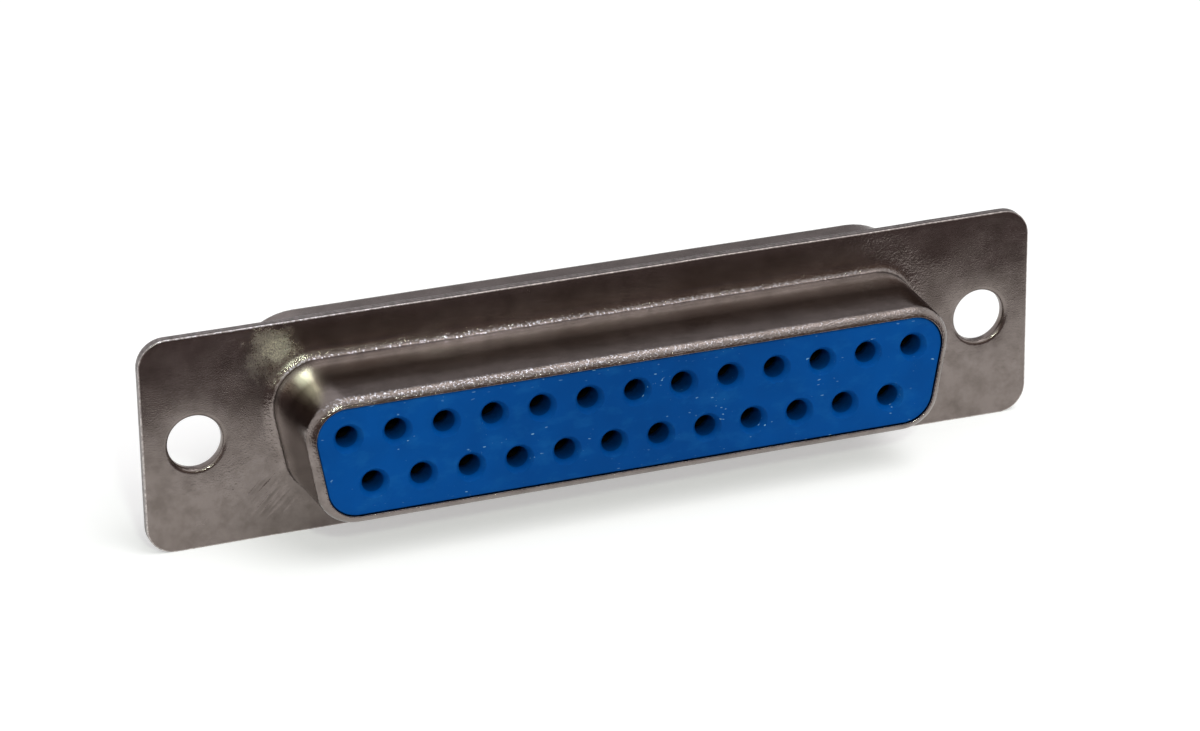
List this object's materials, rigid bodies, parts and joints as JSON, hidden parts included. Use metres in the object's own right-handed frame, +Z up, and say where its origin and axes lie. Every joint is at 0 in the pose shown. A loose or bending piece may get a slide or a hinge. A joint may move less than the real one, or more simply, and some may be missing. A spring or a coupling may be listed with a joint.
{
  "type": "d-sub connector",
  "caption": "D-sub socket connector: D-shaped plated steel shell with a screw hole at each end of its flange, blue plastic insulator, and solder cups at the back.",
  "frame": {"origin": "midway between the two mounting holes, on the flange's front face", "axes": "+X along the rows of sockets, +Z up towards the wide row, -Y towards the mating plug"},
  "size_m": [0.053, 0.0155, 0.0126],
  "materials": {
    "plated_steel": "bright plating with a fine grain, handled",
    "blue_plastic": "satin moulded thermoplastic",
    "gold_flash": "thin gold plating on a copper alloy"
  },
  "bodies": {
    "root": {"front_shell": "plated_steel", "rear_shell": "plated_steel", "front_insulator": "blue_plastic", "rear_insulator": "blue_plastic", "contact_01": "gold_flash", "contact_02": "gold_flash", "contact_03": "gold_flash", "contact_04": "gold_flash", "contact_05": "gold_flash", "contact_06": "gold_flash", "contact_07": "gold_flash", "contact_08": "gold_flash", "contact_09": "gold_flash", "contact_10": "gold_flash", "contact_11": "gold_flash", "contact_12": "gold_flash", "contact_13": "gold_flash", "contact_14": "gold_flash", "contact_15": "gold_flash", "contact_16": "gold_flash", "contact_17": "gold_flash", "contact_18": "gold_flash", "contact_19": "gold_flash", "contact_20": "gold_flash", "contact_21": "gold_flash", "contact_22": "gold_flash", "contact_23": "gold_flash", "contact_24": "gold_flash", "contact_25": "gold_flash"}
  },
  "joints": []
}
